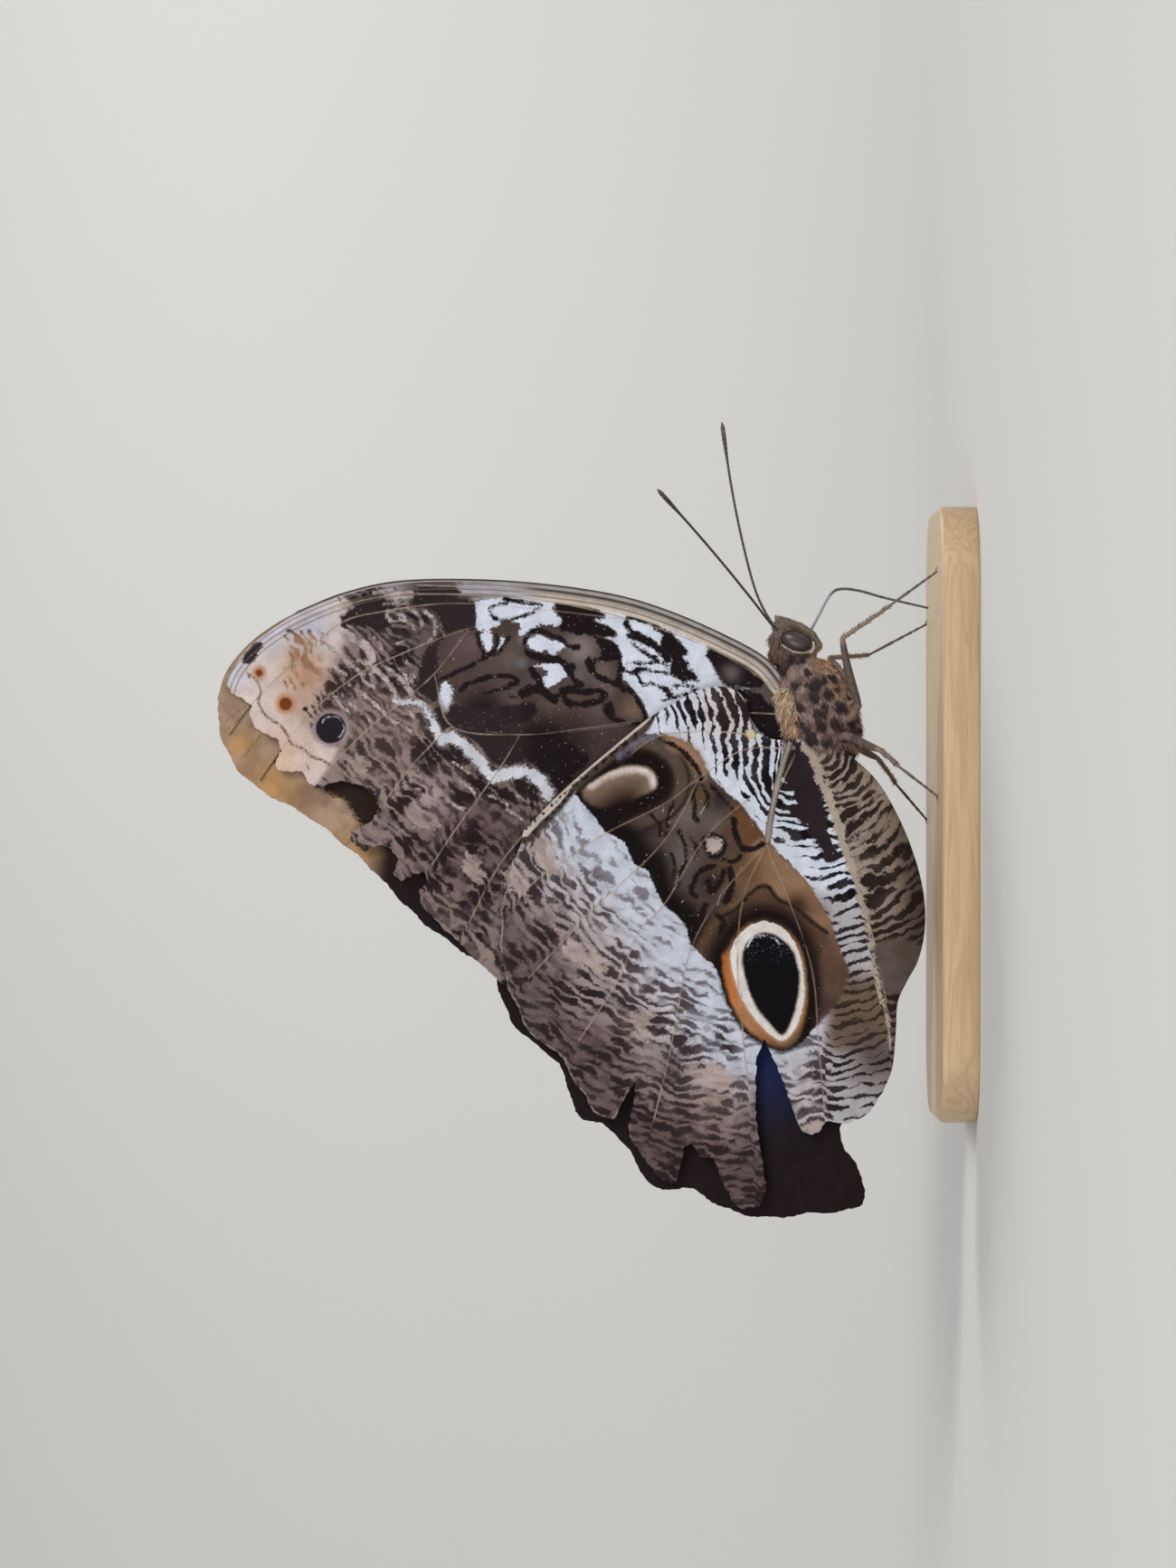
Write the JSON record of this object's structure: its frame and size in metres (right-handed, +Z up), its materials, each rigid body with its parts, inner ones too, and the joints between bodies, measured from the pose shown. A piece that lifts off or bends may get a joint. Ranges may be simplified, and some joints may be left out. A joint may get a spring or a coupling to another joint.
{
  "type": "owl butterfly",
  "caption": "Life-size owl butterfly standing with its wings closed over its back, feet on a plain flat display base.",
  "frame": {"origin": "centre of the display base's flat underside", "axes": "+X forward to the head, +Y to the butterfly's left, +Z up from the underside through the wings"},
  "size_m": [0.1026, 0.044, 0.0971],
  "materials": {
    "body_hair": "soft brown hair over the body",
    "compound_eye": "glossy dark brown eye with faint bands",
    "horn": "dull dark shell of the feelers, tongue and legs",
    "wing_scales": "matt scales in brown, cream and black markings",
    "wood": "pale satin wood"
  },
  "bodies": {
    "root": {"head": "body_hair", "thorax": "body_hair", "abdomen": "body_hair", "palp_left": "body_hair", "palp_right": "body_hair", "eye_left": "compound_eye", "eye_right": "compound_eye", "antenna_left": "horn", "antenna_right": "horn", "proboscis": "horn", "foreleg_left": "horn", "foreleg_right": "horn", "mid_leg_left": "horn", "mid_leg_right": "horn", "hind_leg_left": "horn", "hind_leg_right": "horn", "forewing_left": "wing_scales", "forewing_right": "wing_scales", "hindwing_left": "wing_scales", "hindwing_right": "wing_scales", "stand_base": "wood"}
  },
  "joints": []
}
